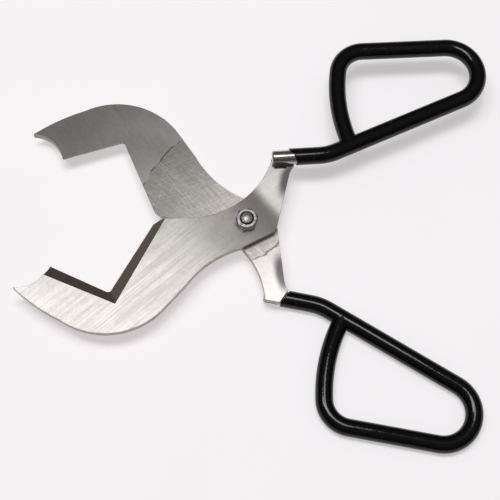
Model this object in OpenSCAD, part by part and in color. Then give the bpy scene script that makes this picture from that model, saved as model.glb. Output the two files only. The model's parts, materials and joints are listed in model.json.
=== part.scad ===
// Scissor-type crucible tongs: two identical flat steel arms, one turned over, cross at a bolted
// pivot. Each arm carries a bent round-rod finger loop with a dipped vinyl grip.
// An arm is drawn once, jaw towards -X, handle towards +X, pivot on the Z axis, with its inner
// face on the plane where the two arms meet. The second arm is the first one flipped about X.

/* [Arm plate] */
// Thickness of each flat arm
plate_t = 4.76; // [3:0.01:6.5]
// Radius of the hollow back edge, from the jaw's root to the handle
back_r = 50; // [42:1:64]
// Distance from the pivot back to where the hollow back edge starts
back_start = 33; // [26:1:38]
// Width of the plate's end under the rod, along the arm
foot_w = 8; // [5:0.5:14]
// How far the foot's end edge lies from the centre line
foot_y = 43; // [40:0.5:50]
// Slope of the front edge that passes the pivot
front_slope = 31; // [20:1:40]
// Distance from the pivot to that front edge
front_gap = 12.3; // [9:0.1:16]

/* [Jaw] */
// Distance from the pivot to the jaw's tip, along the centre line
jaw_reach = 124.3; // [110:1:150]
// How far the open jaw's tip lies from the centre line
jaw_drop = 46.7; // [40:1:52]
// Straight width across the hollow end of the jaw
tip_w = 23.4; // [16:0.5:28]
// Slant of that end
tip_slant = 38.7; // [20:1:50]
// Depth of the hollow in it
tip_hollow = 4.2; // [1:0.1:7]
// Distance from the pivot to the notch's inner corner, along the centre line
notch_reach = 72.5; // [60:0.5:80]
// How far the notch's inner corner lies from the centre line
notch_drop = 45.4; // [36:0.5:50]
// Length of the notch's side next to the pivot
notch_side = 49.2; // [40:0.5:54]
// Slope of that side
notch_slope = 63.2; // [55:1:72]
// Radius in the notch's inner corner
notch_r = 2; // [1:0.5:5]
// Corner cut where the notch meets the back edge
notch_cut = 3; // [1:0.5:6]
// Radius of the jaw's rounded heel
heel_r = 42.3; // [38:0.5:50]
// Distance from the pivot to the heel's centre, along the centre line
heel_reach = 75.2; // [68:0.5:84]
// How far the heel's centre lies from the centre line
heel_drop = 27; // [20:0.5:34]
// Width of the ground bevel on the notch's side next to the pivot, at the inner corner
bevel_side_w = 6.8; // [3:0.1:9]
// Width of the bevel on the notch's front side, at the inner corner
bevel_front_w = 5.2; // [3:0.1:9]
// How far each bevel's upper line turns away from the notch's edge
bevel_skew = 2.5; // [0:0.5:4]
// Thickness left at the notch's inner corner under the steeper bevel
bevel_land = 0.15; // [0.05:0.05:1]

/* [Handle rod] */
// Diameter of the steel rod
rod_d = 7.94; // [6:0.01:10]
// Distance from the pivot to the rod's end on the plate, along the centre line
rod_start = 12.3; // [8:0.1:18]
// How far the rod's end lies from the centre line
rod_y = 37.8; // [34:0.1:42]
// Depth of the flat ground on the rod where it sits on the plate
seat_flat = 0.3; // [0.1:0.05:0.8]
// Slope of the lead-in
lead_slope = 7.5; // [0:0.5:15]
// Length of the straight lead-in
lead_len = 26.3; // [20:0.1:45]
// Bend radius between the lead-in and the loop's straight side
lead_r = 30; // [12:1:50]
// Angle turned by that bend
lead_turn = 20.5; // [10:0.5:30]
// Length of the loop's straight side next to the other handle
side_len = 81; // [60:1:110]
// Bend radius of the loop's round end
end_r = 17.5; // [14:0.5:24]
// Angle turned by the round end
end_turn = 159; // [145:1:170]
// Bend radius of the loop's far corner
corner_r = 15.5; // [8:0.5:18]
// Angle turned by the far corner
corner_turn = 79; // [60:1:90]
// Bend radius of the bowed side that closes the loop
bow_r = 94; // [60:1:200]
// Angle turned by the bowed side
bow_turn = 25; // [10:1:30]
// Distance from the lead-in bend to where the loop closes
foot_along = 8.7; // [4:0.1:20]
// Gap left at the closing end for weld metal
weld_gap = 1.5; // [0.5:0.1:3]
// Chamfer on the rod's bare end
rod_chamfer = 0.6; // [0.2:0.1:1.5]

/* [Welds] */
// Radius of each fillet bead between rod and plate
bead_r = 1.7; // [1:0.1:2.4]
// Distance kept between a bead and the rod's bare end
bead_inset = 1; // [0.5:0.1:4]

/* [Vinyl grip] */
// Thickness of the dipped vinyl
grip_t = 0.95; // [0.3:0.05:2]
// Clearance between the vinyl's edge and the plate
grip_gap = 0.4; // [0.2:0.1:2]

/* [Pivot hardware] */
// Diameter of the bolt
bolt_d = 6.35; // [5:0.05:8]
// Width of the nut and of the bolt's head across the flats
hex_w = 11.1; // [9:0.1:14]
// Height of the nut
nut_h = 5.6; // [4:0.1:8]
// Height of the bolt's head
head_h = 4.4; // [3:0.1:6]
// Length of bolt that stands above the nut
bolt_proud = 1.2; // [0.4:0.1:4]
// Height of the domed, peened end of the bolt
dome_h = 0.9; // [0.3:0.1:1.5]
// How far the nut's countersink reaches out past the bolt, on each side
nut_sink = 0.8; // [0.2:0.1:1]
// Turn of the nut about the bolt
nut_turn = 17; // [0:1:59]
// Radial running clearance between the bolt and each arm
bolt_clearance = 0.05; // [0.02:0.01:0.1]
// Running clearance between the flat faces that slide on each other
face_clearance = 0.05; // [0.02:0.01:0.2]

/* [Hidden] */
$fn = 96;
arc_step = 4;       // degrees between the points of an outline's arc
reach = 400;        // longer than any cut needs
join_step = 0.01;   // how much thinner every second length of the bent rod is
join_lap = 0.3;     // how far those lengths run into their neighbours

steel = "silver";
bare_rod = "gainsboro";
vinyl = "#141414";
bead = "dimgray";
plated = "lightgray";

// Levels of one arm, from the plane where the arms meet
plate_low = face_clearance / 2;
plate_top = plate_low + plate_t;
rod_r = rod_d / 2;
grip_r = rod_r + grip_t;
rod_z = plate_top + rod_r - seat_flat;

// A unit vector, a flat angle's left turn, and the arc between two points
function along(a) = [cos(a), sin(a)];
function turned(r, from, by) = r * [sin(from + by) - sin(from), cos(from) - cos(from + by)];
function cross2(a, b) = a.x * b.y - a.y * b.x;
// Where the line through p at angle a meets the line through q at angle b
function meet(p, a, q, b) = p + along(a) * cross2(q - p, along(b)) / cross2(along(a), along(b));
// Points of an arc that bulges to the right of the way from p to q by the given radius
function arc(p, q, r) =
    let (half = norm(q - p) / 2, turn = 2 * asin(half / abs(r)), mid = (p + q) / 2,
        side = [p.y - q.y, q.x - p.x] / (2 * half),
        centre = mid + side * sign(r) * sqrt(r * r - half * half),
        first = atan2(p.y - centre.y, p.x - centre.x), n = max(2, ceil(turn / arc_step)))
    [for (i = [0:n]) centre + abs(r) * along(first + sign(r) * turn * i / n)];
// The arc's radius when its height over the chord is known
function rise_r(p, q, rise) = pow(norm(q - p), 2) / (8 * rise) + rise / 2;

// Jaw end
tip_out = [-jaw_reach, -jaw_drop];
tip_in = tip_out + tip_w * along(tip_slant);
notch_corner = [-notch_reach, -notch_drop];
notch_end = notch_corner + notch_side * along(notch_slope);
notch_front = atan2(tip_in.y - notch_corner.y, tip_in.x - notch_corner.x);
heel_c = [-heel_reach, -heel_drop];
heel_front_turn = 240;      // where round the heel its arc takes over from the jaw's outer edge
heel_back_turn = 322;       // where it runs into the neck
heel_front = heel_c + heel_r * along(heel_front_turn);
heel_back = heel_c + heel_r * along(heel_back_turn);
jaw_bow = 1.2;              // bow of the jaw's outer edge over its chord
// Front edge, with the pivot a fixed distance behind it
front_near = 9;             // how far the edge runs towards the jaw
front_far = 10.5;           // how far it runs towards the handle
front_foot = front_gap * along(front_slope - 90);
front_start = front_foot - front_near * along(front_slope);
front_end = front_foot + front_far * along(front_slope);
neck_len = 17.5;            // straight run from the heel into the neck
neck_slope = 52;
neck_r = 58;                // hollow between that run and the front edge
neck_low = heel_back + neck_len * along(neck_slope);
corner_cut = 3.8;           // corner cut between the front edge and the side by the handle
corner_slope = 62;
side_start = front_end + corner_cut * along(corner_slope);
// Handle end
rod_overhang = 0.6;         // how far the rod's end stands out past the foot
foot_slant = -59;           // slope of the foot's slanted edge and of the vinyl's edge
foot_slant_len = 8.5;
side_bow = [-2.6, -6.1];    // the rounded run from there to the side
side_bow_r = 12;
back_drop = 0.2;            // how far past the centre line the hollow back edge starts
foot_left = [rod_start + rod_overhang, foot_y];
foot_right = foot_left + foot_w * along(lead_slope);
foot_heel = foot_right + foot_slant_len * along(foot_slant);
side_end = foot_heel + side_bow;
back_low = [-back_start, -back_drop];

module plate_outline() {
    difference() {
        polygon(concat(
            arc(tip_out, heel_front, rise_r(tip_out, heel_front, jaw_bow)),
            arc(heel_front, heel_back, heel_r),
            arc(neck_low, front_start, -neck_r),
            [front_end],
            [side_start],
            arc(side_end, foot_heel, -side_bow_r),
            [foot_right],
            arc(foot_left, back_low, -back_r),
            [notch_end + notch_cut * [1, 0]],
            [notch_end - notch_cut * along(notch_slope)],
            notch_points(),
            arc(tip_in, tip_out, -rise_r(tip_in, tip_out, tip_hollow))
        ));
        circle(r = bolt_d / 2 + bolt_clearance);
    }
}

// The notch's inner corner, rounded
function notch_points() =
    let (open = (notch_front - notch_slope) / 2, back = notch_r / tan(open))
    arc(notch_corner + back * along(notch_slope), notch_corner + back * along(notch_front), -notch_r);

// The two bevels' upper lines cross outside the notch's corner, and a mitre runs from there
bevel_angle = atan((plate_t - bevel_land) / bevel_side_w);
bevel_side = notch_slope + bevel_skew;
bevel_front = notch_front + bevel_skew;
bevel_corner = meet(notch_corner + bevel_side_w * along(notch_slope - 90), bevel_side,
    notch_corner + bevel_front_w * along(notch_front + 90), bevel_front);

// One bevel plane: it falls from its upper line towards the notch, as far as the mitre
module bevel_cut(slope, turn) {
    leg = 90;               // longer than either side of the notch
    mitre = (bevel_side + bevel_front) / 2;
    intersection() {
        translate([bevel_corner.x, bevel_corner.y, plate_top])
            rotate([turn * bevel_angle, 0, slope])
                translate([-reach, -reach, 0])
                    cube([2 * reach, 2 * reach, reach]);
        linear_extrude(2 * reach, center = true)
            translate(bevel_corner)
                polygon([[0, 0], leg * along(slope), leg * along(slope) + leg / 3 * along(slope - turn * 90),
                    leg / 2 * along(mitre)]);
    }
}

module arm_plate() {
    color(steel)
        difference() {
            translate([0, 0, plate_low])
                linear_extrude(plate_t)
                    plate_outline();
            bevel_cut(bevel_side, -1);
            bevel_cut(bevel_front, 1);
        }
}

// Each arm's handle path: straight lengths and left turns, one after the other
lead_p = [rod_start, rod_y];
bend_p = lead_p + lead_len * along(lead_slope);
side_slope = lead_slope + lead_turn;
side_p = bend_p + turned(lead_r, lead_slope, lead_turn);
end_p = side_p + side_len * along(side_slope);
top_slope = side_slope + end_turn;
top_p = end_p + turned(end_r, side_slope, end_turn);
bow_slope = top_slope + corner_turn;
tail_slope = bow_slope + bow_turn;
// The top's length is what brings the tail down onto the chosen spot of the straight side
closing_p = side_p + foot_along * along(side_slope);
corner_shift = turned(corner_r, top_slope, corner_turn) + turned(bow_r, bow_slope, bow_turn);
corner_p = meet(top_p, top_slope, closing_p - corner_shift, tail_slope);
bow_p = corner_p + turned(corner_r, top_slope, corner_turn);
tail_p = corner_p + corner_shift;
top_len = norm(corner_p - top_p);
tail_len = norm(closing_p - tail_p);
// The tail stops short of the side's surface, and weld metal fills the rest
tail_bare = tail_len - rod_r - weld_gap;

module at(p, slope) {
    translate([p.x, p.y, rod_z])
        rotate(slope)
            children();
}

// A straight length, run on a little past both of its ends
module straight(p, slope, d, len, before = 0, after = 0) {
    at(p, slope)
        translate([-before, 0, 0])
            rotate([0, 90, 0])
                cylinder(d = d, h = before + len + after);
}

// A left bend, run on by an angle past both of its ends
module bend(p, slope, d, r, turn, past = 0) {
    at(p, slope)
        translate([0, r, 0])
            rotate(-90 - past)
                rotate_extrude(angle = turn + 2 * past)
                    translate([r, 0])
                        circle(d = d);
}

// The whole bent shape at one diameter, with its closing tail cut to a given length.
// Every second length is a hair thinner and runs into its neighbours, so that they join as one solid.
module handle_run(d, tail) {
    thin = d - 2 * join_step;
    straight(lead_p, lead_slope, thin, lead_len, 0, join_lap);
    bend(bend_p, lead_slope, d, lead_r, lead_turn);
    straight(side_p, side_slope, thin, side_len, join_lap, join_lap);
    bend(end_p, side_slope, d, end_r, end_turn);
    straight(top_p, top_slope, thin, top_len, join_lap, join_lap);
    bend(corner_p, top_slope, d, corner_r, corner_turn);
    bend(bow_p, bow_slope, thin, bow_r, bow_turn, asin(join_lap / bow_r));
    straight(tail_p, tail_slope, d, tail);
}

// Everything on the plate's side of the slanted line where the vinyl starts
module plate_side(h) {
    edge = foot_right + grip_gap * along(foot_slant + 90);
    translate([edge.x, edge.y, -reach / 2])
        rotate(foot_slant)
            translate([-reach / 2, -reach, 0])
                cube([reach, reach, reach / 2 + h]);
}

module handle_rod() {
    color(bare_rod)
        difference() {
            handle_run(rod_d, tail_bare);
            plate_side(plate_top);
            at(lead_p, lead_slope)
                rotate([0, 90, 0])
                    difference() {
                        translate([0, 0, -1])
                            cylinder(r = 2 * rod_r, h = 1 + rod_chamfer);
                        translate([0, 0, -1])
                            cylinder(r1 = rod_r - rod_chamfer - 1, r2 = rod_r, h = 1 + rod_chamfer);
                    }
        }
}

// Two fillet beads that join the rod's bare end to the plate, one on each side of it
module rod_weld() {
    bead_sink = 0.6;        // how far a bead's centre lies inside the rod's side
    bead_y = rod_r - bead_sink;
    bead_len = foot_w - bead_inset;
    color(bead)
        difference() {
            for (side = [-1, 1])
                translate([0, 0, plate_top + bead_r / 2 - rod_z])
                    at(lead_p, lead_slope)
                        translate([bead_inset, side * bead_y, 0])
                            rotate([0, 90, 0])
                                cylinder(r = bead_r, h = bead_len);
            straight(lead_p, lead_slope, rod_d - 2 * join_step, lead_len);
            translate([-reach / 2, -reach / 2, plate_top - reach])
                cube(reach);
        }
}

// Weld metal between the end of the tail and the loop's straight side
module loop_weld() {
    weld_inset = 0.4;
    color(bead)
        difference() {
            straight(tail_p + tail_bare * along(tail_slope), tail_slope, rod_d - 2 * weld_inset,
                rod_r + weld_gap);
            straight(side_p, side_slope, rod_d - 2 * join_step, side_len);
        }
}

module handle_grip() {
    color(vinyl)
        difference() {
            handle_run(2 * grip_r, tail_len);
            handle_run(rod_d, tail_len);
            plate_side(reach);
        }
}

// A hexagon with its corners turned down at one end, to a round face a little narrower than its flats
module hex_body(h) {
    face_share = 0.96;
    chamfer_angle = 30;
    face_r = hex_w / 2 * face_share;
    intersection() {
        cylinder(r = hex_w / 2 / cos(30), h = h, $fn = 6);
        cylinder(r1 = face_r + h / tan(chamfer_angle), r2 = face_r, h = h);
    }
}

nut_z = plate_top + face_clearance;
bolt_top = nut_z + nut_h + bolt_proud;

module pivot_bolt() {
    r = bolt_d / 2;
    dome_r = rise_r([-r, 0], [r, 0], dome_h);
    color(plated)
        union() {
            translate([0, 0, -plate_top])
                mirror([0, 0, 1])
                    hex_body(head_h);
            translate([0, 0, -plate_top])
                cylinder(r = r, h = plate_top + bolt_top - dome_h);
            translate([0, 0, bolt_top - dome_h])
                intersection() {
                    translate([0, 0, dome_h - dome_r])
                        sphere(r = dome_r);
                    cylinder(r = r, h = dome_h);
                }
        }
}

module pivot_nut() {
    color(plated)
        translate([0, 0, nut_z])
            rotate(nut_turn)
                difference() {
                    hex_body(nut_h);
                    translate([0, 0, -1])
                        cylinder(d = bolt_d, h = nut_h + 2);
                    translate([0, 0, nut_h - nut_sink])
                        cylinder(d1 = bolt_d, d2 = bolt_d + 2 * nut_sink, h = nut_sink);
                }
}

// Stand the tongs on the lowest point of the lower grip, centred on their own length
x_mid = (end_p.x - end_r * sin(side_slope) + end_r + grip_r - jaw_reach) / 2;
z_low = rod_z + grip_r;

module place() {
    translate([-x_mid, 0, z_low])
        children();
}

module lower() {
    place()
        rotate([180, 0, 0])
            children();
}

place() arm_plate();  // upper_arm_plate
place() handle_rod();  // upper_handle_rod
place() rod_weld();  // upper_rod_weld
place() loop_weld();  // upper_loop_weld
place() handle_grip();  // upper_handle_grip
lower() arm_plate();  // lower_arm_plate
lower() handle_rod();  // lower_handle_rod
lower() rod_weld();  // lower_rod_weld
lower() loop_weld();  // lower_loop_weld
lower() handle_grip();  // lower_handle_grip
place() pivot_bolt();
place() pivot_nut();
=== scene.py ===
import json
import math

import bpy
from mathutils import Matrix, Vector, noise


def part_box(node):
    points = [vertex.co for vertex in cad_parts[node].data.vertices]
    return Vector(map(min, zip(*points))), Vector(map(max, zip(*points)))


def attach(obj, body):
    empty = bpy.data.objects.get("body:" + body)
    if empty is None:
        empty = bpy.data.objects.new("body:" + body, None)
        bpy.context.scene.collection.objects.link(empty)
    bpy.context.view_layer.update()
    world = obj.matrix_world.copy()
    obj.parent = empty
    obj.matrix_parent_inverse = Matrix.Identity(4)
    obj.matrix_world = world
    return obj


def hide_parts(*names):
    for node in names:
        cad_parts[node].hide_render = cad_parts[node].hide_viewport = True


MM = 0.001

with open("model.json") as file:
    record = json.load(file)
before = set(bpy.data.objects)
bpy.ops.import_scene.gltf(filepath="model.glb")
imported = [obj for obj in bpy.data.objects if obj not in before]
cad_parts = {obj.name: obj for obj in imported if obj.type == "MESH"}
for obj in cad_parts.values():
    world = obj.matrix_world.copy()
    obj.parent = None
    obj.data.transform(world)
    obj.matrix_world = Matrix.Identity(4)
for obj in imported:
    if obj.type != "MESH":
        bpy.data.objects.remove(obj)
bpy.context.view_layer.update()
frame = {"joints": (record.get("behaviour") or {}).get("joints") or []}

# Where things are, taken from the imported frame
pivot = Vector(frame["joints"][0]["pos_m"])
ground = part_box("lower_handle_grip")[0].z

# Which way each arm's outer face looks, and the belt's direction on it in degrees from the tongs' length
OUTER = {"upper": 1, "lower": -1}
BELT = {"upper": 42, "lower": -52}
BEND = {"upper": 0.06, "lower": 0.01}       # slope of the slight outward bend past each arm's pivot
DIP = 0.03              # slope of the shallow hollow before it
LEAD = 7.5              # slope of the rod's end on the plate, in degrees


# Shader helpers --------------------------------------------------------------------------------

def srgb(code):
    """A hex colour as the linear values that a shader takes."""
    parts = [int(code[i:i + 2], 16) / 255 for i in (0, 2, 4)]
    return [p / 12.92 if p <= 0.04045 else ((p + 0.055) / 1.055) ** 2.4 for p in parts] + [1.0]


def add(tree, kind, inputs=None, out=0, **settings):
    """Adds a shader node and gives one of its outputs. An output given as input is linked."""
    made = tree.nodes.new("ShaderNode" + kind)
    for key, value in settings.items():
        setattr(made, key, value)
    fill(tree, made, inputs or {})
    return made.outputs[out]


def fill(tree, made, inputs):
    for key, value in inputs.items():
        if isinstance(value, bpy.types.NodeSocket):
            tree.links.new(value, made.inputs[key])
        else:
            made.inputs[key].default_value = value


def material(name, make, *facts):
    """A new material: make() draws its nodes and gives the inputs of its main shader."""
    mat = bpy.data.materials.new(name)
    mat.use_nodes = True
    tree = mat.node_tree
    fill(tree, tree.nodes["Principled BSDF"], make(tree, *facts))
    return mat


def brush_lines(t, place, angle, width, length, detail=3.0, shift=0.0):
    """Noise drawn out into lines of a real width and length in mm, at an angle."""
    turned = add(t, "Mapping", {"Vector": place, "Rotation": (0, 0, -math.radians(angle))})
    drawn = add(t, "Mapping", {"Vector": turned, "Location": (shift, 3 * shift, 0),
                               "Scale": (1 / (length * MM), 1 / (width * MM), 1 / (width * MM))})
    return add(t, "TexNoise", {"Vector": drawn, "Scale": 1.0, "Detail": detail, "Roughness": 0.6})


def blotches(t, place, size, detail=2.0, shift=0.0):
    """Soft noise with patches of a real size in mm."""
    drawn = add(t, "Mapping", {"Vector": place, "Location": (shift,) * 3, "Scale": (1 / (size * MM),) * 3})
    return add(t, "TexNoise", {"Vector": drawn, "Scale": 1.0, "Detail": detail, "Roughness": 0.5})


# Materials -------------------------------------------------------------------------------------

SMOOTH = {"interpolation_type": "SMOOTHSTEP"}
COLOUR = {"out": 2, "data_type": "RGBA"}
LENGTH = {"out": "Value", "operation": "LENGTH"}
NOISE_SPAN = {"From Min": 0.3, "From Max": 0.7}      # where nearly all of a noise's values lie

RUB_JAW, RUB_HANDLE = 62 * MM, 21 * MM      # how far from the pivot the other arm rubs, on each side of it
RUB_EDGE = 3.5 * MM                         # what the wandering edge adds to that
TINT_X, TINT_Y = 21.5 * MM, 27 * MM         # the heat-tint band's middle, from the pivot
TINT_SLOPE = 78                             # its slope in degrees
TINT_LENGTH, TINT_WIDTH = 13 * MM, 5 * MM   # its half length and half width
BEND_X, BEND_Y = 0.72, 0.69                 # direction in which each arm bends past the pivot
BEND_START, DIP_START = 16 * MM, 4 * MM     # how far that way the bend and the hollow start


def rubbed_zone(t, place, outer, radius, along):
    """Where the other arm's face has rubbed, and the dark line round that zone's edge."""
    limit = add(t, "MapRange", {"Value": along, "From Min": -4 * MM, "From Max": 4 * MM, "To Min": RUB_JAW,
                                "To Max": RUB_HANDLE}, **SMOOTH)
    wander = add(t, "Math", {0: blotches(t, place, 9, shift=11.0), 1: 6 * MM}, operation="MULTIPLY")
    reached = add(t, "Math", {0: radius, 1: wander})
    ring = add(t, "Math", {0: reached, 1: limit}, operation="SUBTRACT")
    inner = add(t, "MapRange", {"Value": outer, "From Min": -0.5, "From Max": -0.7}, **SMOOTH)
    inside = add(t, "MapRange", {"Value": ring, "From Min": RUB_EDGE + MM, "From Max": RUB_EDGE - MM},
                 **SMOOTH)
    worn = add(t, "Math", {0: inside, 1: inner}, operation="MULTIPLY")
    off_edge = add(t, "Math", {0: ring, 1: RUB_EDGE}, operation="SUBTRACT")
    off_edge = add(t, "Math", {0: off_edge}, operation="ABSOLUTE")
    line = add(t, "MapRange", {"Value": off_edge, "From Min": 0.8 * MM, "From Max": 0.1 * MM}, **SMOOTH)
    breaks = blotches(t, place, 7, shift=5.0)
    broken = add(t, "MapRange", {"Value": breaks, "From Min": 0.42, "From Max": 0.56}, **SMOOTH)
    line = add(t, "Math", {0: line, 1: inner}, operation="MULTIPLY")
    return worn, add(t, "Math", {0: line, 1: broken}, operation="MULTIPLY")


def scratches(t, place, arm, flat, radius, along):
    """Fine scratches: some in arcs round the pivot, more in two straight directions."""
    angle = add(t, "Math", {0: add(t, "SeparateXYZ", {0: flat}, out="Y"), 1: along}, operation="ARCTAN2")
    polar = add(t, "CombineXYZ", {0: angle, 1: radius})
    drawn = add(t, "Mapping", {"Vector": polar, "Scale": (3.0, 1 / (0.6 * MM), 1)})
    arcs = add(t, "TexNoise", {"Vector": drawn, "Scale": 1.0, "Detail": 3.0})
    across = brush_lines(t, place, BELT[arm] + 75, 0.45, 9, shift=2.0)
    askew = brush_lines(t, place, BELT[arm] + 20, 0.5, 16, shift=4.0)
    arcs = add(t, "Math", {0: arcs, 1: 0.4, 2: -0.7}, operation="MULTIPLY_ADD")
    across = add(t, "Math", {0: across, 1: 0.8, 2: -0.2}, operation="MULTIPLY_ADD")
    askew = add(t, "Math", {0: askew, 1: 0.8, 2: -0.4}, operation="MULTIPLY_ADD")
    both = add(t, "Math", {0: arcs, 1: across})
    return add(t, "Math", {0: askew, 1: both})


def sanded_tone(t, place, fine, radius, worn, scratched):
    """Near neutral steel, mottled, and lighter where it is worn, most of all by the pivot."""
    cloud = blotches(t, place, 16)
    mottle = blotches(t, place, 2.2, detail=4.0, shift=3.0)
    tone = add(t, "Mix", {0: cloud, 6: srgb("A9A5A1"), 7: srgb("C4C1BC")}, **COLOUR)
    line_tone = add(t, "MapRange", {"Value": fine, "From Min": 0.25, "From Max": 0.75, "To Min": 0.86,
                                    "To Max": 1.12})
    tone = add(t, "Mix", {0: 1.0, 6: tone, 7: line_tone}, blend_type="MULTIPLY", **COLOUR)
    patch = add(t, "MapRange", {"Value": mottle, "From Min": 0.35, "From Max": 0.6, "To Min": 0.95,
                                "To Max": 1.03})
    tone = add(t, "Mix", {0: 1.0, 6: tone, 7: patch}, blend_type="MULTIPLY", **COLOUR)
    bright = add(t, "MapRange", {"Value": radius, "From Min": 60 * MM, "From Max": 14 * MM, "To Min": 1.35,
                                 "To Max": 2.1})
    gain = add(t, "MapRange", {"Value": scratched, "From Min": -0.35, "From Max": 0.3, "To Min": 0.65,
                               "To Max": 1.3})
    gain = add(t, "Math", {0: gain, 1: bright}, operation="MULTIPLY")
    worn_tone = add(t, "Mix", {0: 1.0, 6: tone, 7: gain}, blend_type="MULTIPLY", **COLOUR)
    return add(t, "Mix", {0: worn, 6: tone, 7: worn_tone}, **COLOUR)


def heat_tint(t, arm, flat):
    """How strongly the weld's heat has tinted the plate: a dark band along its side by the handle."""
    side = OUTER[arm]
    band = add(t, "VectorMath", {0: flat, 1: (TINT_X, TINT_Y * side, 0)}, operation="SUBTRACT")
    band = add(t, "Mapping", {"Vector": band, "Rotation": (0, 0, -side * math.radians(TINT_SLOPE))})
    band = add(t, "VectorMath", {0: band, 1: (1 / TINT_LENGTH, 1 / TINT_WIDTH, 0)}, operation="MULTIPLY")
    away = add(t, "VectorMath", {0: band}, **LENGTH)
    return add(t, "MapRange", {"Value": away, "From Min": 1.2, "From Max": 0.4, "To Max": 0.85}, **SMOOTH)


def plate_wave(t, place, arm, flat, edge):
    """A plate that isn't quite flat: a shallow hollow, a slight bend past the pivot, and low humps."""
    side = OUTER[arm]
    past = add(t, "VectorMath", {0: flat, 1: (BEND_X, BEND_Y * side, 0)}, out="Value",
               operation="DOT_PRODUCT")
    past_bend = add(t, "Math", {0: past, 1: -BEND_START})
    past_dip = add(t, "Math", {0: past, 1: -DIP_START})
    bent = add(t, "Math", {0: past_bend, 1: 0.0, 2: 5 * MM}, operation="SMOOTH_MAX")
    dipped = add(t, "Math", {0: past_dip, 1: 0.0, 2: 8 * MM}, operation="SMOOTH_MAX")
    up = add(t, "Math", {0: bent, 1: side * (BEND[arm] + DIP)}, operation="MULTIPLY")
    down = add(t, "Math", {0: dipped, 1: -side * DIP}, operation="MULTIPLY")
    humps = blotches(t, place, 38, detail=0.0, shift=1.5)
    humps = add(t, "Math", {0: humps, 1: 0.5 * MM}, operation="MULTIPLY")
    height = add(t, "Math", {0: add(t, "Math", {0: up, 1: down}), 1: humps})
    return add(t, "Bump", {"Height": height, "Distance": 1.0, "Strength": 1.0, "Normal": edge})


def belt_sanded_steel(t, arm):
    """Stainless plate, sanded on a belt: straight fine lines one way, and a highlight drawn out across them.
    The faces that slide on each other are rubbed in arcs round the pivot."""
    place = add(t, "TexCoord", out="Object")
    facing = add(t, "SeparateXYZ", {0: add(t, "TexCoord", out="Normal")}, out="Z")
    level = add(t, "Math", {0: facing}, operation="ABSOLUTE")
    outer = add(t, "Math", {0: facing, 1: OUTER[arm]}, operation="MULTIPLY")
    from_pivot = add(t, "VectorMath", {0: place, 1: pivot}, operation="SUBTRACT")
    flat = add(t, "VectorMath", {0: from_pivot, 1: (1, 1, 0)}, operation="MULTIPLY")
    radius = add(t, "VectorMath", {0: flat}, **LENGTH)
    along = add(t, "SeparateXYZ", {0: flat}, out="X")

    # Lines 0.35 mm wide: the belt's own are near 0.05 mm, too fine to show, so these are drawn coarser
    fine = brush_lines(t, place, BELT[arm], 0.35, 14)
    coarse = brush_lines(t, place, BELT[arm] + 3, 1.1, 45, shift=7.0)
    worn, rim = rubbed_zone(t, place, outer, radius, along)
    scratched = scratches(t, place, arm, flat, radius, along)

    tone = sanded_tone(t, place, fine, radius, worn, scratched)
    rim = add(t, "Math", {0: rim, 1: 0.75}, operation="MULTIPLY")
    tone = add(t, "Mix", {0: rim, 6: tone, 7: srgb("4A423D")}, **COLOUR)
    tone = add(t, "Mix", {0: heat_tint(t, arm, flat), 6: tone, 7: srgb("33363B")}, **COLOUR)
    # The ground bevel and the cut edges are given a darker, browner tone than the faces: painted dark
    # reflection
    sloped = add(t, "MapRange", {"Value": level, "From Min": 0.92, "From Max": 0.88})
    tone = add(t, "Mix", {0: sloped, 6: tone, 7: srgb("8C7F74")}, **COLOUR)
    wall = add(t, "MapRange", {"Value": level, "From Min": 0.55, "From Max": 0.3}, **SMOOTH)
    tone = add(t, "Mix", {0: wall, 6: tone, 7: srgb("8C8178")}, **COLOUR)

    rough = add(t, "MapRange", {"Value": coarse, **NOISE_SPAN, "To Min": 0.33, "To Max": 0.43})
    rough = add(t, "Math", {0: rough, 1: add(t, "Math", {0: worn, 1: 0.2}, operation="MULTIPLY")})
    edge = add(t, "Bevel", {"Radius": 0.3 * MM}, samples=4)
    wave = plate_wave(t, place, arm, flat, edge)
    cut = add(t, "Math", {0: worn, 1: scratched}, operation="MULTIPLY")
    marks = add(t, "Math", {0: fine, 1: cut})
    relief = add(t, "Bump", {"Height": marks, "Distance": 0.006 * MM, "Strength": 1.0, "Normal": wave})
    # The highlight is drawn out along the tangent, which here runs across the belt's lines
    across_belt = math.radians(BELT[arm] + 90)
    tangent = add(t, "VectorTransform", {0: (math.cos(across_belt), math.sin(across_belt), 0)},
                  vector_type="VECTOR", convert_from="OBJECT", convert_to="WORLD")
    return {"Base Color": tone, "Metallic": 1.0, "Roughness": rough, "Anisotropic": 0.9, "Tangent": tangent,
            "Normal": relief}


def drawn_steel_rod(t):
    """Bright drawn rod: metal, smooth, with faint lines along it."""
    place = add(t, "TexCoord", out="Object")
    fine = brush_lines(t, place, LEAD, 0.3, 12)
    cloud = blotches(t, place, 5, detail=3.0)
    tone = add(t, "Mix", {0: cloud, 6: srgb("8C847C"), 7: srgb("BEBAB5")}, **COLOUR)
    rough = add(t, "MapRange", {"Value": fine, **NOISE_SPAN, "To Min": 0.16, "To Max": 0.3})
    edge = add(t, "Bevel", {"Radius": 0.3 * MM}, samples=4)
    relief = add(t, "Bump", {"Height": fine, "Distance": 0.008 * MM, "Normal": edge})
    return {"Base Color": tone, "Metallic": 1.0, "Roughness": rough, "Normal": relief}


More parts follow.
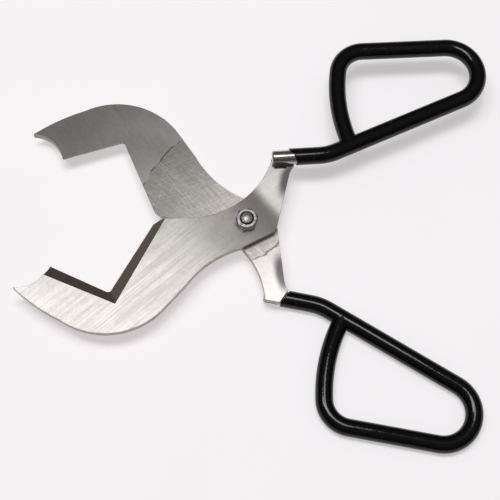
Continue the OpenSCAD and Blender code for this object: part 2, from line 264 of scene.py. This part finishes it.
def weld_metal(t):
    """Weld bead left as it cooled: rippled metal under a thin brown oxide, darker and lighter in small random
    patches.
    """
    place = add(t, "TexCoord", out="Object")
    cloud = blotches(t, place, 1.6, detail=4.0)
    tone = add(t, "Mix", {0: cloud, 6: srgb("33291F"), 7: srgb("86796C")}, **COLOUR)
    rough = add(t, "MapRange", {"Value": cloud, **NOISE_SPAN, "To Min": 0.3, "To Max": 0.55})
    relief = add(t, "Bump", {"Height": blotches(t, place, 0.5, detail=3.0, shift=2.0), "Distance": 0.05 * MM})
    return {"Base Color": tone, "Metallic": 1.0, "Roughness": rough, "Normal": relief}


def dipped_vinyl(t):
    """PVC plastisol, dipped and cured: black, glossy, slightly uneven like orange peel, with a few light
    specks painted in as glints.
    """
    place = add(t, "TexCoord", out="Object")
    # Painted glints: small light grey specks in the black, standing in for reflections of a lamp
    painted_glints = add(t, "MapRange", {"Value": blotches(t, place, 0.7, detail=1.0, shift=4.0), "From Min": 0.72,
                                 "From Max": 0.78})
    smear = blotches(t, place, 12, detail=3.0)
    tone = add(t, "Mix", {0: painted_glints, 6: srgb("040404"), 7: srgb("4A4A4E")}, **COLOUR)
    rough = add(t, "MapRange", {"Value": smear, **NOISE_SPAN, "To Min": 0.07, "To Max": 0.15})
    peel = blotches(t, place, 3.5, detail=2.0, shift=6.0)
    edge = add(t, "Bevel", {"Radius": 0.9 * MM}, samples=6)
    relief = add(t, "Bump", {"Height": peel, "Distance": 0.05 * MM, "Normal": edge})
    return {"Base Color": tone, "Roughness": rough, "IOR": 1.52, "Specular IOR Level": 0.28, "Normal": relief}


def zinc_plated_steel(t):
    """Bright zinc plating on a pressed nut: metal with a blue-white cast, small dents and dull spots. The
    flats and the countersink, like every other steep face, are painted dark brown as shade."""
    place = add(t, "TexCoord", out="Object")
    facing = add(t, "SeparateXYZ", {0: add(t, "TexCoord", out="Normal")}, out="Z")
    cloud = blotches(t, place, 1.8, detail=4.0)
    tone = add(t, "Mix", {0: cloud, 6: srgb("A7A7AA"), 7: srgb("D6D6DB")}, **COLOUR)
    # Painted shade: every face turned more than about 37 degrees away from straight up is darkened
    painted_side_shade = add(t, "MapRange", {"Value": facing, "From Min": 0.8, "From Max": 0.7})
    tone = add(t, "Mix", {0: painted_side_shade, 6: tone, 7: srgb("4E453C")}, **COLOUR)
    rough = add(t, "MapRange", {"Value": cloud, **NOISE_SPAN, "To Min": 0.16, "To Max": 0.3})
    edge = add(t, "Bevel", {"Radius": 0.25 * MM}, samples=4)
    relief = add(t, "Bump", {"Height": cloud, "Distance": 0.03 * MM, "Normal": edge})
    return {"Base Color": tone, "Metallic": 1.0, "Roughness": rough, "Normal": relief}


def peened_steel(t):
    """The bolt's hammered end: bare steel with small bright facets and dark pits."""
    place = add(t, "TexCoord", out="Object")
    cloud = blotches(t, place, 0.9, detail=3.0)
    tone = add(t, "Mix", {0: cloud, 6: srgb("6E665C"), 7: srgb("EFEBE3")}, **COLOUR)
    rough = add(t, "MapRange", {"Value": cloud, **NOISE_SPAN, "To Min": 0.5, "To Max": 0.3})
    relief = add(t, "Bump", {"Height": cloud, "Distance": 0.25 * MM})
    return {"Base Color": tone, "Metallic": 1.0, "Roughness": rough, "Normal": relief}


def white_paper(t):
    """Matte white sheet with a faint tooth."""
    place = add(t, "TexCoord", out="Object")
    tone = add(t, "Mix", {0: blotches(t, place, 90), 6: srgb("EDEBEE"), 7: srgb("F4F3F6")}, **COLOUR)
    relief = add(t, "Bump", {"Height": blotches(t, place, 0.8, detail=3.0), "Distance": 0.03 * MM})
    return {"Base Color": tone, "Roughness": 0.85, "IOR": 1.45, "Normal": relief,
            "Emission Color": srgb("FFFDFE"), "Emission Strength": 0.42}


vinyl = material("dipped_vinyl", dipped_vinyl)
rod = material("drawn_steel_rod", drawn_steel_rod)
weld = material("weld_metal", weld_metal)
zinc = material("zinc_plated_steel", zinc_plated_steel)
peened = material("peened_steel", peened_steel)
finishes = {"handle_grip": vinyl, "handle_rod": rod, "rod_weld": weld, "loop_weld": weld}


def dress(name, finish):
    """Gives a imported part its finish."""
    slots = bpy.data.objects[name].material_slots
    for slot in slots:
        slot.material = finish


for arm in OUTER:
    dress(arm + "_arm_plate", material("belt_sanded_steel_" + arm, belt_sanded_steel, arm))
    for part, finish in finishes.items():
        dress(arm + "_" + part, finish)
dress("pivot_nut", zinc)
dress("pivot_bolt", peened)


# Welds: the beads' real surface, rippled as the pool cooled -------------------------------------

RIPPLE = 1.3 * MM       # one ripple of the bead
RIPPLE_RISE = 0.16 * MM


def rippled_weld(node, slope):
    """Covers the node's solid with a bead that has ripples across its run."""
    source = bpy.data.objects[node]
    piece = bpy.data.objects.new(node + "_bead", source.data.copy())
    bpy.context.collection.objects.link(piece)
    remesh = piece.modifiers.new("skin", "REMESH")
    remesh.mode = "VOXEL"
    remesh.voxel_size = 0.22 * MM
    soften = piece.modifiers.new("soften", "SMOOTH")
    soften.iterations = 4
    made = piece.evaluated_get(bpy.context.evaluated_depsgraph_get())
    mesh = bpy.data.meshes.new_from_object(made)
    piece.modifiers.clear()
    piece.data = mesh
    run = Vector((math.cos(math.radians(slope)), math.sin(math.radians(slope)), 0))
    moves = []
    for v in mesh.vertices:
        phase = v.co.dot(run) / RIPPLE + 0.6 * noise.noise(v.co / (2 * MM))
        crest = abs(math.sin(math.pi * phase))
        lump = noise.noise(v.co / (1.1 * MM))
        moves.append(v.normal * RIPPLE_RISE * (crest - 0.75 + 0.7 * lump))
    for v, move in zip(mesh.vertices, moves):
        v.co += move
    mesh.materials.clear()
    mesh.materials.append(weld)
    mesh.shade_smooth()
    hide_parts(node)
    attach(piece, node.split("_")[0] + "_arm")


for arm, side in OUTER.items():
    rippled_weld(arm + "_rod_weld", side * LEAD)


# Camera ----------------------------------------------------------------------------------------

AIM = Vector((2.94, -14.98, 0)) * MM        # from the pivot, on the plane where the arms meet
DISTANCE, AZIMUTH, ELEVATION, ROLL = 0.66633, -2.771, 70.302, 6.249
LENS = 86.36

turn, rise, roll = (math.radians(a) for a in (AZIMUTH, ELEVATION, ROLL))
back = Vector((math.sin(turn) * math.cos(rise), -math.cos(turn) * math.cos(rise), math.sin(rise)))
level = Vector((0, 0, 1)).cross(back).normalized()
above = back.cross(level)
right = math.cos(roll) * level + math.sin(roll) * above
camera = bpy.data.objects.new("camera", bpy.data.cameras.new("camera"))
bpy.context.collection.objects.link(camera)
camera.matrix_world = Matrix.Translation(pivot + AIM + back * DISTANCE) @ Matrix(
    (right, back.cross(right), back)).transposed().to_4x4()
camera.data.lens = LENS
camera.data.sensor_width = 36
camera.data.clip_start, camera.data.clip_end = 0.05, 20
bpy.context.scene.camera = camera


# Floor and light -------------------------------------------------------------------------------

floor_mesh = bpy.data.meshes.new("floor")
half = 3.0              # half the sheet's width, in metres
corners = ((-half, -half), (half, -half), (half, half), (-half, half))
floor_mesh.from_pydata([(x, y, ground) for x, y in corners], [], [(0, 1, 2, 3)])
floor = bpy.data.objects.new("floor", floor_mesh)
bpy.context.collection.objects.link(floor)
floor.data.materials.append(material("white_paper", white_paper))


def softbox(name, place, size, power, colour="FFFFFF"):
    """A rectangular light at a place round the pivot, looking at it."""
    data = bpy.data.lights.new(name, "AREA")
    data.shape = "RECTANGLE"
    data.size, data.size_y = size
    data.energy = power
    data.color = srgb(colour)[:3]
    light = bpy.data.objects.new(name, data)
    bpy.context.collection.objects.link(light)
    light.location = pivot + Vector(place)
    light.rotation_mode = "QUATERNION"
    light.rotation_quaternion = Vector(place).to_track_quat("Z", "Y")


softbox("overhead", (0.03, 0.13, 1.5), (0.40, 0.40), 4.7)
softbox("left", (-0.40, 0.08, 1.5), (0.24, 0.60), 5.0)

world = bpy.data.worlds.new("studio")
bpy.context.scene.world = world
world.use_nodes = True
sky = world.node_tree
height = add(sky, "SeparateXYZ", {0: add(sky, "TexCoord", out="Generated")}, out="Z")
shade = add(sky, "ValToRGB", {0: height})
stops = shade.node.color_ramp.elements
stops[0].position, stops[0].color = 0.0, srgb("4A423C")
stops[1].position, stops[1].color = 1.0, srgb("8E8F94")
stop = stops.new(0.6)
stop.color = srgb("665F5A")
fill(sky, sky.nodes["Background"], {"Color": shade, "Strength": 1.0})

bpy.context.scene.view_settings.view_transform = "Standard"
